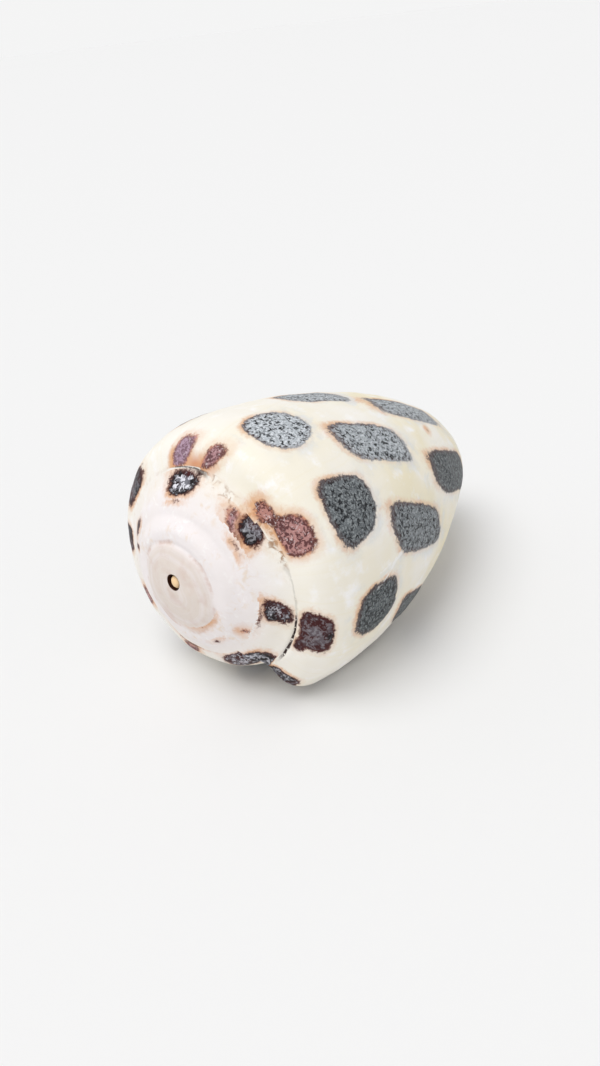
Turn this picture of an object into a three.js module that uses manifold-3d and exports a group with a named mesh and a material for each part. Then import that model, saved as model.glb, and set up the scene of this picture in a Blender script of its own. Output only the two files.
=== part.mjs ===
// Worn cone shell lying on its aperture side: a low stepped spire with a pit at the apex,
// one tapering last whorl, and a long narrow aperture beside the lip that opens at the front.
// Millimetres, +Z up. The shell's axis runs along X, with the front tip towards +X.

import * as THREE from 'three';
import { mergeVertices } from 'three/addons/utils/BufferGeometryUtils.js';
import Module from 'manifold-3d';

// Driving dimensions. A level is measured along the shell's axis from the front tip to the apex.
const LENGTH = 36;
const SHOULDER_RADIUS = 12.4;
const SHOULDER_LEVEL = 26;
const TIP_RADIUS = 2.1;
const SUTURE_RADIUS = 8.6;
const SUTURE_LEVEL = 31.8;
const SUTURE_GROOVE = 0.25;

// Growth. A sweep is the angle back from the lip, against the growth of the shell.
const TURN = 2 * Math.PI;
const GROWTH_PER_TURN = 1.307;
const SPIRE_TURNS = 4.5;
const SPIRE_DOME = 2.1;
const FRONT_LEAN = THREE.MathUtils.degToRad(31.5);

// Section of a whorl: how sharp its shoulder is, and how full its side is above the tip.
const LIP_SHARPNESS = 2.72;
const YOUNG_SHARPNESS = 1.93;
const SIDE_FULLNESS = 1.67;
const SIDE_ROUNDNESS = 0.625;

// Aperture: a slit under the lip that winds back between the last whorl and the one inside it.
const LIP_WALL = 1.1;
const TIP_WALL = 0.7;
const APERTURE_ROOF = 2.4;
const APERTURE_SWEEP = 1.5 * TURN;
const LIP_CLEARANCE = 0.04 * TURN;
const NARROWEST_SLIT = 1.1;
const CORE_RADIUS = 0.2;
const CORE_SKIN = 0.1;
const FRONT_OVERCUT = 1;

// Notch where the front end of the lip is worn back along the last whorl.
const NOTCH_SWEEP = THREE.MathUtils.degToRad(35);
const NOTCH_LEVEL = 17;
const NOTCH_SQUARENESS = 2;
const NOTCH_OVERCUT = 1;
const NOTCH_UNDERCUT = 0.4;

// Canal: the front of the slit, open as far back as the notch and then rising to its floor.
const CANAL_FLOOR = 10;
const CANAL_CLOSED_SWEEP = 0.3 * TURN;

// Apex pit, with the worn stub of the first whorl standing in it.
const PIT_RADIUS = 0.55;
const PIT_FLOOR_RADIUS = 0.45;
const PIT_DEPTH = 0.9;
const STUB_RADIUS = 0.3;
const STUB_HEIGHT = 0.45;

// How the shell lies: the sweep that faces down, and how far the apex is lifted.
const DOWN_SWEEP = THREE.MathUtils.degToRad(-36.3);
const APEX_LIFT = THREE.MathUtils.degToRad(7.5);

// Facets
const COLUMNS_PER_TURN = 48;
const SLIT_COLUMNS_PER_TURN = 28;
const RAMP_ROWS = 5;
const SHOULDER_ROWS = 5;
const SIDE_ROWS = 13;
const SLIT_ROWS = 14;
const TIP_CROWDING = 1.5;
const PIT_SIDES = 14;
const STUB_STEPS = 3;
const NOTCH_ROWS = 14;
const NOTCH_COLUMNS = 6;
const NOTCH_CROWDING = 2;
const MERGE_DISTANCE = 1e-4;

const { lerp, smoothstep } = THREE.MathUtils;

function growth(sweep) {
  return GROWTH_PER_TURN ** (-sweep / TURN);
}

// The suture is the upper edge of a whorl, where it meets the whorl before.
function suture(sweep) {
  const scale = growth(sweep);
  const drop = (LENGTH - SUTURE_LEVEL) * scale ** SPIRE_DOME;
  return { radius: SUTURE_RADIUS * scale, level: LENGTH - drop };
}

// The shoulder is squarer towards the lip than where the last whorl starts.
function sharpness(sweep) {
  return lerp(LIP_SHARPNESS, YOUNG_SHARPNESS, smoothstep(sweep, TURN / 2, TURN));
}

function levelStretch(sweep) {
  return suture(sweep).level / SUTURE_LEVEL;
}

// The side of a whorl bulges from the front tip up to the shoulder.
function sideRadius(share) {
  const bulge = (1 - (1 - share) ** SIDE_FULLNESS) ** SIDE_ROUNDNESS;
  return lerp(TIP_RADIUS, SHOULDER_RADIUS, bulge);
}

// The radius of a whorl at a level, on its side or on its shoulder.
function whorlRadius(sweep, level) {
  const ownLevel = level / levelStretch(sweep);
  if (ownLevel <= SHOULDER_LEVEL) {
    return growth(sweep) * sideRadius(Math.max(ownLevel / SHOULDER_LEVEL, 0));
  }
  const power = sharpness(sweep);
  const rise = Math.min((ownLevel - SHOULDER_LEVEL) / (SUTURE_LEVEL - SHOULDER_LEVEL), 1);
  const reach = (1 - rise ** power) ** (1 / power);
  return growth(sweep) * lerp(SUTURE_RADIUS, SHOULDER_RADIUS, reach);
}

// Share of the shoulder curve that stays in sight when the next whorl has grown over it.
const RAMP_REACH = SUTURE_RADIUS * (GROWTH_PER_TURN - 1) / (SHOULDER_RADIUS - SUTURE_RADIUS);
const RAMP_ANGLE = Math.asin(RAMP_REACH ** (YOUNG_SHARPNESS / 2));

function shoulderAngles() {
  const angles = [];
  for (let row = 0; row <= RAMP_ROWS; row += 1) {
    angles.push(RAMP_ANGLE * row / RAMP_ROWS);
  }
  for (let row = 1; row <= SHOULDER_ROWS; row += 1) {
    angles.push(lerp(RAMP_ANGLE, TURN / 4, row / SHOULDER_ROWS));
  }
  return angles;
}

// Sections lean back towards the front tip, as the lip and every growth line before it do.
function pointAt(sweep, radius, level) {
  const lean = FRONT_LEAN * THREE.MathUtils.clamp(1 - level / SHOULDER_LEVEL, 0, 1);
  const angle = sweep + lean;
  return new THREE.Vector3(radius * Math.cos(angle), radius * Math.sin(angle), level);
}

function suturePoint(sweep) {
  const edge = suture(sweep);
  return pointAt(sweep, edge.radius, edge.level - SUTURE_GROOVE * growth(sweep));
}

// One section of the last whorl, from its suture over the shoulder and down to the front tip.
function whorlSection(sweep) {
  const scale = growth(sweep);
  const stretch = levelStretch(sweep);
  const power = 2 / sharpness(sweep);
  const section = shoulderAngles().map((angle) => {
    const radius = lerp(SUTURE_RADIUS, SHOULDER_RADIUS, Math.sin(angle) ** power);
    const level = lerp(SHOULDER_LEVEL, SUTURE_LEVEL, Math.max(Math.cos(angle), 0) ** power);
    return pointAt(sweep, scale * radius, stretch * level);
  });
  section[0] = suturePoint(sweep);
  for (let row = SIDE_ROWS - 1; row >= 0; row -= 1) {
    const share = (row / SIDE_ROWS) ** TIP_CROWDING;
    section.push(pointAt(sweep, scale * sideRadius(share), stretch * SHOULDER_LEVEL * share));
  }
  return section;
}

// One section of a spire whorl, from its own suture out to the suture of the next whorl.
function spireSection(sweep) {
  const inner = suture(sweep);
  const outer = suture(sweep - TURN);
  const fall = (reach) => 1 - (1 - reach ** YOUNG_SHARPNESS) ** (1 / YOUNG_SHARPNESS);
  const section = [suturePoint(sweep)];
  for (let row = 1; row < RAMP_ROWS; row += 1) {
    const reach = Math.sin(RAMP_ANGLE * row / RAMP_ROWS) ** (2 / YOUNG_SHARPNESS);
    const radius = lerp(inner.radius, outer.radius, reach / RAMP_REACH);
    const level = lerp(inner.level, outer.level, fall(reach) / fall(RAMP_REACH));
    section.push(pointAt(sweep, radius, level));
  }
  section.push(suturePoint(sweep - TURN));
  return section;
}

function sweepColumns(from, to, columnsPerTurn, sectionAt) {
  const count = Math.round((to - from) / TURN * columnsPerTurn);
  const columns = [];
  for (let column = 0; column <= count; column += 1) {
    columns.push(sectionAt(lerp(from, to, column / count)));
  }
  return columns;
}

// Triangles are kept as a plain list of corners until they are merged into one closed mesh.
function addGrid(corners, columns) {
  for (let i = 0; i + 1 < columns.length; i += 1) {
    for (let j = 0; j + 1 < columns[i].length; j += 1) {
      const [a, b] = [columns[i][j], columns[i][j + 1]];
      const [c, d] = [columns[i + 1][j + 1], columns[i + 1][j]];
      corners.push(a, b, c, a, c, d);
    }
  }
}

function addFan(corners, centre, loop) {
  loop.forEach((point, index) => {
    corners.push(centre, point, loop[(index + 1) % loop.length]);
  });
}

// The face of the lip, between its own section and the start of the last whorl inside it.
function addLipFace(corners, lip, start) {
  for (let row = 1; row + 1 < lip.length; row += 1) {
    const inner = start[Math.max(row, RAMP_ROWS)];
    corners.push(lip[row + 1], lip[row], inner);
    if (row >= RAMP_ROWS) {
      corners.push(lip[row + 1], inner, start[row + 1]);
    }
  }
}

function merged(geometry) {
  geometry.deleteAttribute('normal');
  geometry.deleteAttribute('uv');
  return mergeVertices(geometry, MERGE_DISTANCE);
}

function closedMesh(corners) {
  return merged(new THREE.BufferGeometry().setFromPoints(corners));
}

// The outside of the shell as one closed mesh, with no aperture yet.
function outerMesh() {
  const lastWhorl = sweepColumns(0, TURN, COLUMNS_PER_TURN, whorlSection);
  const lip = lastWhorl[0];
  const start = lastWhorl.at(-1);
  start[RAMP_ROWS] = lip[0];

  const spireEnd = TURN * (1 + SPIRE_TURNS);
  const spire = sweepColumns(TURN, spireEnd, COLUMNS_PER_TURN, spireSection);
  spire[0] = start.slice(0, RAMP_ROWS + 1);

  const corners = [];
  addGrid(corners, lastWhorl);
  addGrid(corners, spire);
  addLipFace(corners, lip, start);

  const apexEdge = spire.slice(-COLUMNS_PER_TURN).map((section) => section[0]);
  const apexStep = spire.at(-1).slice(1);
  const apex = new THREE.Vector3(0, 0, suture(spireEnd).level);
  addFan(corners, apex, [...apexEdge, ...apexStep]);

  const tipEdge = lastWhorl.map((section) => section.at(-1));
  const tip = new THREE.Vector3(0, CORE_RADIUS, 0);
  addFan(corners, tip, tipEdge.reverse());
  return closedMesh(corners);
}

// The wall of the last whorl between the outside and the slit, thinner towards the front tip.
function wallAt(level) {
  return lerp(TIP_WALL, LIP_WALL, smoothstep(level, 0, SHOULDER_LEVEL));
}

// One section of the slit: down its outer wall, then back up its inner wall.
function slitSection(sweep) {
  const top = suture(sweep).level - APERTURE_ROOF;
  const closing = smoothstep(sweep, NOTCH_SWEEP, CANAL_CLOSED_SWEEP);
  const bottom = lerp(-FRONT_OVERCUT, CANAL_FLOOR, closing);
  const outerWall = [];
  const innerWall = [];
  for (let row = 0; row <= SLIT_ROWS; row += 1) {
    const level = lerp(bottom, top, (1 - row / SLIT_ROWS) ** TIP_CROWDING);
    const outer = whorlRadius(sweep, level) - wallAt(level);
    const core = whorlRadius(sweep + TURN, level) + CORE_SKIN;
    const inner = Math.max(Math.min(core, outer - NARROWEST_SLIT), CORE_RADIUS);
    outerWall.push(pointAt(sweep, outer, level));
    innerWall.push(pointAt(sweep, inner, level));
  }
  return [...outerWall, ...innerWall.reverse()];
}

// A closed tube through a row of sections that each go out along one wall and back along the other.
function tubeMesh(sections) {
  const corners = [];
  addGrid(corners, sections.map((section) => [...section, section[0]]));
  const addEnd = (section) => {
    for (let row = 0; row + 1 < section.length / 2; row += 1) {
      const opposite = section.length - 1 - row;
      const [a, b] = [section[row], section[row + 1]];
      const [c, d] = [section[opposite - 1], section[opposite]];
      corners.push(a, c, b, a, d, c);
    }
  };
  addEnd(sections[0]);
  addEnd(sections.at(-1).toReversed());
  return closedMesh(corners);
}

function slitMesh() {
  const columns = SLIT_COLUMNS_PER_TURN;
  return tubeMesh(sweepColumns(-LIP_CLEARANCE, APERTURE_SWEEP, columns, slitSection));
}

// One level of the notch: back along the outside of the lip, then forward inside the slit.
function notchSection(level) {
  const share = Math.max(level / NOTCH_LEVEL, 0);
  const back = NOTCH_SWEEP * (1 - share ** NOTCH_SQUARENESS) ** (1 / NOTCH_SQUARENESS);
  const outside = [];
  const inside = [];
  for (let column = 0; column <= NOTCH_COLUMNS; column += 1) {
    const sweep = lerp(-LIP_CLEARANCE, back, column / NOTCH_COLUMNS);
    const radius = whorlRadius(sweep, level);
    outside.push(pointAt(sweep, radius + NOTCH_OVERCUT, level));
    inside.push(pointAt(sweep, radius - wallAt(level) - NOTCH_UNDERCUT, level));
  }
  return [...outside, ...inside.reverse()];
}

function notchMesh() {
  const sections = [];
  for (let row = 0; row <= NOTCH_ROWS; row += 1) {
    const depth = (1 - row / NOTCH_ROWS) ** NOTCH_CROWDING;
    sections.push(notchSection(lerp(NOTCH_LEVEL, -FRONT_OVERCUT, depth)));
  }
  return tubeMesh(sections);
}

function pitMesh() {
  const floor = suture(TURN * (1 + SPIRE_TURNS)).level - PIT_DEPTH;
  const rim = floor + 2 * PIT_DEPTH;
  const stub = new THREE.EllipseCurve(0, floor, STUB_RADIUS, STUB_HEIGHT, TURN / 4, 0, true);
  const outline = [
    ...stub.getPoints(STUB_STEPS),
    new THREE.Vector2(PIT_FLOOR_RADIUS, floor),
    new THREE.Vector2(PIT_RADIUS, rim),
    new THREE.Vector2(0, rim),
  ];
  outline[0].x = 0;
  return merged(new THREE.LatheGeometry(outline, PIT_SIDES).rotateX(TURN / 4));
}

const wasm = await Module();
wasm.setup();

function solidFrom(geometry) {
  const vertProperties = new Float32Array(geometry.getAttribute('position').array);
  const triVerts = new Uint32Array(geometry.getIndex().array);
  const mesh = new wasm.Mesh({ numProp: 3, vertProperties, triVerts });
  mesh.merge();
  return new wasm.Manifold(mesh);
}

function geometryFrom(solid) {
  const mesh = solid.getMesh();
  const geometry = new THREE.BufferGeometry();
  geometry.setAttribute('position', new THREE.BufferAttribute(mesh.vertProperties, 3));
  geometry.setIndex(new THREE.BufferAttribute(mesh.triVerts, 1));
  return geometry;
}

const whole = solidFrom(outerMesh());
const hollows = [slitMesh(), pitMesh(), notchMesh()].map(solidFrom);
const hollowed = hollows.reduce((solid, hollow) => solid.subtract(hollow), whole);

const porcelain = new THREE.MeshStandardMaterial({ color: 0xece4d4, roughness: 0.45, metalness: 0 });
const shell = new THREE.Mesh(geometryFrom(hollowed), porcelain);
shell.name = 'shell';
shell.rotation.z = TURN / 2 - DOWN_SWEEP;

const resting = new THREE.Group();
resting.rotation.y = APEX_LIFT - TURN / 4;
resting.add(shell);

// The origin is under the middle of the shell, on the surface that it lies on.
const part = new THREE.Group();
part.add(resting);
part.updateMatrixWorld(true);
const box = new THREE.Box3().setFromObject(shell, true);
const middle = box.getCenter(new THREE.Vector3());
resting.position.set(-middle.x, -middle.y, -box.min.z);
part.updateMatrixWorld(true);

export default part;
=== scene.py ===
"""Worn cone shell with rows of dark blotches, lying on its aperture on a pale studio floor."""

import logging
import math
from abc import ABC, abstractmethod
from dataclasses import dataclass, replace
from enum import Enum
from typing import Callable, ClassVar

import bpy
import numpy as np
from mathutils import Matrix, Vector, noise


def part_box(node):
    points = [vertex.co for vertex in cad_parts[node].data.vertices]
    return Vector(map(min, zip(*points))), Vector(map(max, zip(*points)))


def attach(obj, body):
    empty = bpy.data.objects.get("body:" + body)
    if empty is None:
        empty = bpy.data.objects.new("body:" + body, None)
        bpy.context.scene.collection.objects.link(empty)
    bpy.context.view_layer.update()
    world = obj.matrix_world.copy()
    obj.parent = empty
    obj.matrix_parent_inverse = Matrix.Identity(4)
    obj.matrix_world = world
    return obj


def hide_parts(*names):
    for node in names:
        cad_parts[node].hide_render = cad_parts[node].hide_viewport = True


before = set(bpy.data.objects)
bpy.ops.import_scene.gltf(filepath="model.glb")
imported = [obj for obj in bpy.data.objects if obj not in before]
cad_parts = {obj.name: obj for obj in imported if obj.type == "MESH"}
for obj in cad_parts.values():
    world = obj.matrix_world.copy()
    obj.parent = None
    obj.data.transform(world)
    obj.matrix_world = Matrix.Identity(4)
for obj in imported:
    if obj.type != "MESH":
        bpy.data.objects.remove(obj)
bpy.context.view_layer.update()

LOG = logging.getLogger("shell")
TURN = 2.0 * math.pi
MM = 0.001
# Millimetres given to points far outside a mark, and a distance that counts as none
FAR_OUTSIDE = -5.0
HAIR = 1e-3
# Share of the weld gap under which an edge is dissolved, and the middle of a noise
SLIVER_SHARE = 0.1
NOISE_MIDDLE = 0.5

Array = np.ndarray
Colour = tuple[float, float, float]
Place = tuple[float, float, float]
Span = tuple[float, float]
Socket = bpy.types.NodeSocket
Shape = Callable[[Array, Array], Array]


def smooth_step(value: Array, low: float, high: float) -> Array:
    """Ease from 0 at low to 1 at high.

    Args:
        value: Numbers to ease.
        low: Where the result is 0.
        high: Where the result is 1.

    Returns:
        The eased numbers.
    """
    share = np.clip((value - low) / (high - low), 0.0, 1.0)
    return share * share * (3.0 - 2.0 * share)


def smooth_max(first: Array, second: Array, width: float) -> Array:
    """Take the larger of two numbers, rounded off where they are close.

    Args:
        first: First numbers.
        second: Second numbers.
        width: How close they are where the rounding starts.

    Returns:
        The larger numbers.
    """
    near = np.maximum(width - np.abs(first - second), 0.0)
    return np.maximum(first, second) + near * near / (4.0 * width)


def blend(low: Array, high: Array, share: Array) -> Array:
    """Mix low and high by share."""
    return low + (high - low) * share


def bell(value: Array, middle: float, width: float) -> Array:
    """Bump of 1 at the middle that fades out over a width."""
    return np.exp(-(((value - middle) / width) ** 2))


def srgb(red: int, green: int, blue: int) -> Colour:
    """Turn a screen colour of 0 to 255 into linear light.

    Args:
        red: Red from 0 to 255.
        green: Green from 0 to 255.
        blue: Blue from 0 to 255.

    Returns:
        The linear colour.
    """
    parts = np.array([red, green, blue]) / 255.0
    linear = np.where(parts <= 0.04045, parts / 12.92, ((parts + 0.055) / 1.055) ** 2.4)
    return tuple(float(part) for part in linear)


def pick_only(piece: bpy.types.Object) -> None:
    """Make a piece the only one selected, and the active one."""
    bpy.ops.object.select_all(action="DESELECT")
    piece.select_set(True)
    bpy.context.view_layer.objects.active = piece


def points_of(piece: bpy.types.Object) -> Array:
    """Read the points of a mesh as rows of x, y and z."""
    flat = np.empty(len(piece.data.vertices) * 3)
    piece.data.vertices.foreach_get("co", flat)
    return flat.reshape(-1, 3)


def set_points(piece: bpy.types.Object, points: Array) -> None:
    """Move the points of a mesh to the rows of x, y and z."""
    piece.data.vertices.foreach_set("co", np.ascontiguousarray(points).ravel())
    piece.data.update()


def rolled_grid(name: str, columns: int, rows: int, shape: Shape) -> bpy.types.Object:
    """Add a flat grid and roll it into shape.

    Args:
        name: Name of the new object.
        columns: Faces across the grid.
        rows: Faces down the grid.
        shape: Gives the place of each point from its column and row number.

    Returns:
        The rolled grid.
    """
    bpy.ops.object.select_all(action="DESELECT")
    bpy.ops.mesh.primitive_grid_add(x_subdivisions=columns, y_subdivisions=rows, size=1.0)
    grid = bpy.context.object
    grid.name = name
    flat = points_of(grid)
    column = np.rint((flat[:, 0] + 0.5) * columns)
    row = np.rint((flat[:, 1] + 0.5) * rows)
    set_points(grid, shape(column, row))
    return grid


def welded(name: str, patches: list[bpy.types.Object], gap: float) -> bpy.types.Object:
    """Join patches into one closed mesh with outward faces.

    Args:
        name: Name of the joined object.
        patches: The patches, whose edges meet.
        gap: Points closer than this are merged.

    Returns:
        The closed mesh.
    """
    pick_only(patches[0])
    for patch in patches[1:]:
        patch.select_set(True)
    bpy.ops.object.join()
    whole = bpy.context.object
    whole.name = name
    bpy.ops.object.mode_set(mode="EDIT")
    bpy.ops.mesh.select_all(action="SELECT")
    bpy.ops.mesh.remove_doubles(threshold=gap)
    bpy.ops.mesh.dissolve_degenerate(threshold=gap * SLIVER_SHARE)
    bpy.ops.mesh.select_all(action="SELECT")
    bpy.ops.mesh.fill_holes(sides=0)
    bpy.ops.mesh.select_all(action="SELECT")
    bpy.ops.mesh.normals_make_consistent(inside=False)
    bpy.ops.object.mode_set(mode="OBJECT")
    return whole


def bent_box(
    name: str, size: tuple[int, int, int], shape: Callable[..., Array], gap: float
) -> bpy.types.Object:
    """Build a closed solid from the six faces of a bent box.

    Args:
        name: Name of the solid.
        size: Number of steps along each of the box's three ways.
        shape: Gives the place of each point from its three step numbers.
        gap: Points closer than this are merged.

    Returns:
        The solid.
    """

    def face(way: int, step: int) -> bpy.types.Object:
        """Build the face that lies at one step of one way."""
        along, down = (other for other in range(len(size)) if other != way)

        def place(column: Array, row: Array) -> Array:
            """Place the face's points."""
            steps = {along: column, down: row, way: np.full_like(row, step)}
            return shape(*(steps[number] for number in range(len(size))))

        return rolled_grid(name, size[along], size[down], place)

    faces = [face(way, step) for way in reversed(range(len(size))) for step in (0, size[way])]
    return welded(name, faces, gap)


def cut(body: bpy.types.Object, tool: bpy.types.Object) -> None:
    """Cut a solid out of a body, and remove the solid.

    Args:
        body: The body that is cut.
        tool: The solid that is cut out of it.
    """
    pick_only(body)
    modifier = body.modifiers.new(tool.name, "BOOLEAN")
    modifier.operation = "DIFFERENCE"
    modifier.object = tool
    modifier.solver = "MANIFOLD"
    bpy.ops.object.modifier_apply(modifier=modifier.name)
    bpy.data.objects.remove(tool)


@dataclass(frozen=True)
class Growth:
    """How the whorls grow, in millimetres. A sweep is the angle back from the lip."""

    length: float = 36.0
    shoulder_radius: float = 12.4
    shoulder_level: float = 26.0
    tip_radius: float = 2.1
    suture_radius: float = 8.6
    suture_level: float = 31.8
    growth_per_turn: float = 1.307
    spire_dome: float = 2.1
    front_lean: float = math.radians(31.5)
    lip_sharpness: float = 2.72
    young_sharpness: float = 1.93
    side_fullness: float = 1.67
    side_roundness: float = 0.625

    @property
    def ramp_reach(self) -> float:
        """Share of the shoulder that stays in sight under the next whorl."""
        grown = self.suture_radius * (self.growth_per_turn - 1.0)
        return grown / (self.shoulder_radius - self.suture_radius)

    @property
    def ramp_angle(self) -> float:
        """Shoulder angle where the next whorl starts."""
        return math.asin(self.ramp_reach ** (self.young_sharpness / 2.0))

    def scale(self, sweep: Array) -> Array:
        """Size of the whorl at a sweep, 1 at the lip."""
        return self.growth_per_turn ** (-sweep / TURN)

    def suture(self, sweep: Array) -> tuple[Array, Array]:
        """Radius and level of a whorl's upper edge."""
        scale = self.scale(sweep)
        drop = (self.length - self.suture_level) * scale**self.spire_dome
        return self.suture_radius * scale, self.length - drop

    def dome(self, radius: Array) -> Array:
        """Level of the smooth dome that passes through every suture."""
        share = np.maximum(radius, 0.0) / self.suture_radius
        return self.length - (self.length - self.suture_level) * share**self.spire_dome

    def sharpness(self, sweep: Array) -> Array:
        """Squareness of the shoulder, which grows towards the lip."""
        share = smooth_step(sweep, TURN / 2.0, TURN)
        return blend(self.lip_sharpness, self.young_sharpness, share)

    def stretch(self, sweep: Array) -> Array:
        """Height of a section against the section at the lip."""
        return self.suture(sweep)[1] / self.suture_level

    def side_radius(self, share: Array) -> Array:
        """Radius of the lip's section from the tip at 0 to the shoulder at 1."""
        bulge = (1.0 - (1.0 - share) ** self.side_fullness) ** self.side_roundness
        return blend(self.tip_radius, self.shoulder_radius, bulge)

    def radius_at(self, sweep: Array, level: Array) -> Array:
        """Radius of a whorl at a level.

        Args:
            sweep: Angle back from the lip.
            level: Height above the front tip.

        Returns:
            The radius on the whorl's side or shoulder.
        """
        own = level / self.stretch(sweep)
        side = self.side_radius(np.clip(own / self.shoulder_level, 0.0, 1.0))
        power = self.sharpness(sweep)
        height = self.suture_level - self.shoulder_level
        rise = np.clip((own - self.shoulder_level) / height, 0.0, 1.0)
        reach = (1.0 - rise**power) ** (1.0 / power)
        shoulder = blend(self.suture_radius, self.shoulder_radius, reach)
        return self.scale(sweep) * np.where(own <= self.shoulder_level, side, shoulder)

    def lean(self, level: Array) -> Array:
        """Angle by which a section leans at a level."""
        return self.front_lean * np.clip(1.0 - level / self.shoulder_level, 0.0, 1.0)

    def place(self, sweep: Array, radius: Array, level: Array) -> Array:
        """Points at a sweep, radius and level, with the apex towards +Z."""
        angle = sweep + self.lean(level)
        return np.stack([radius * np.cos(angle), radius * np.sin(angle), level], axis=-1)


class Mark(Enum):
    """Kinds of mark, by the attribute that holds each kind's outline."""

    GREY = "grey_edge"
    RUDDY = "ruddy_edge"
    BLACK = "black_edge"
    AMBER = "amber_edge"
    SCAR = "scar_edge"


@dataclass(frozen=True)
class Blotch:
    """One mark. Sweeps are in degrees, and arcs in millimetres down from the suture."""

    mark: Mark
    sweep: float
    arc: float
    half_width: float
    half_height: float
    slant: float = 0.0
    taper: float = 0.0
    squareness: float = 3.0
    # Share of painted sheen on grey and black marks, higher where they face the light; on ruddy marks,
    # the share of violet
    sheen_and_violet: float = 0.2

    TAPER_REACH: ClassVar[float] = 1.5
    LEAD_MIDDLE: ClassVar[float] = 0.5
    LEAD_BACK: ClassVar[float] = 0.35
    LEAD_UP: ClassVar[float] = 0.45

    def offsets(self, sweep: Array, arc: Array) -> tuple[Array, Array, Array]:
        """Place points against the mark.

        Args:
            sweep: Sweep of each point in degrees.
            arc: Arc of each point in millimetres.

        Returns:
            How far back and how far down each point is, 1 at the outline, and the half width there.
        """
        down = arc - self.arc
        low = down / self.half_height
        half = self.half_width * (1.0 + self.taper * np.clip(low, -self.TAPER_REACH, self.TAPER_REACH))
        back = (sweep - self.sweep - self.slant * down) / half
        return back, low, half

    def inside(self, sweep: Array, arc: Array, radius: Array) -> Array:
        """Distance inside the mark's outline.

        Args:
            sweep: Sweep of each point in degrees.
            arc: Arc of each point in millimetres.
            radius: Radius of each point in millimetres.

        Returns:
            Millimetres inside the outline, below 0 outside.
        """
        back, low, half = self.offsets(sweep, arc)
        power = self.squareness
        reach = (np.abs(back) ** power + np.abs(low) ** power) ** (1.0 / power)
        across = np.radians(half) * np.maximum(radius, 1.0)
        return (1.0 - reach) * np.minimum(across, self.half_height)

    def lead(self, sweep: Array, arc: Array) -> Array:
        """Share of each point's rim that is warm, most at the mark's older upper corner."""
        back, low, _ = self.offsets(sweep, arc)
        return np.clip(self.LEAD_MIDDLE + self.LEAD_BACK * back - self.LEAD_UP * low, 0.0, 1.0)


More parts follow.
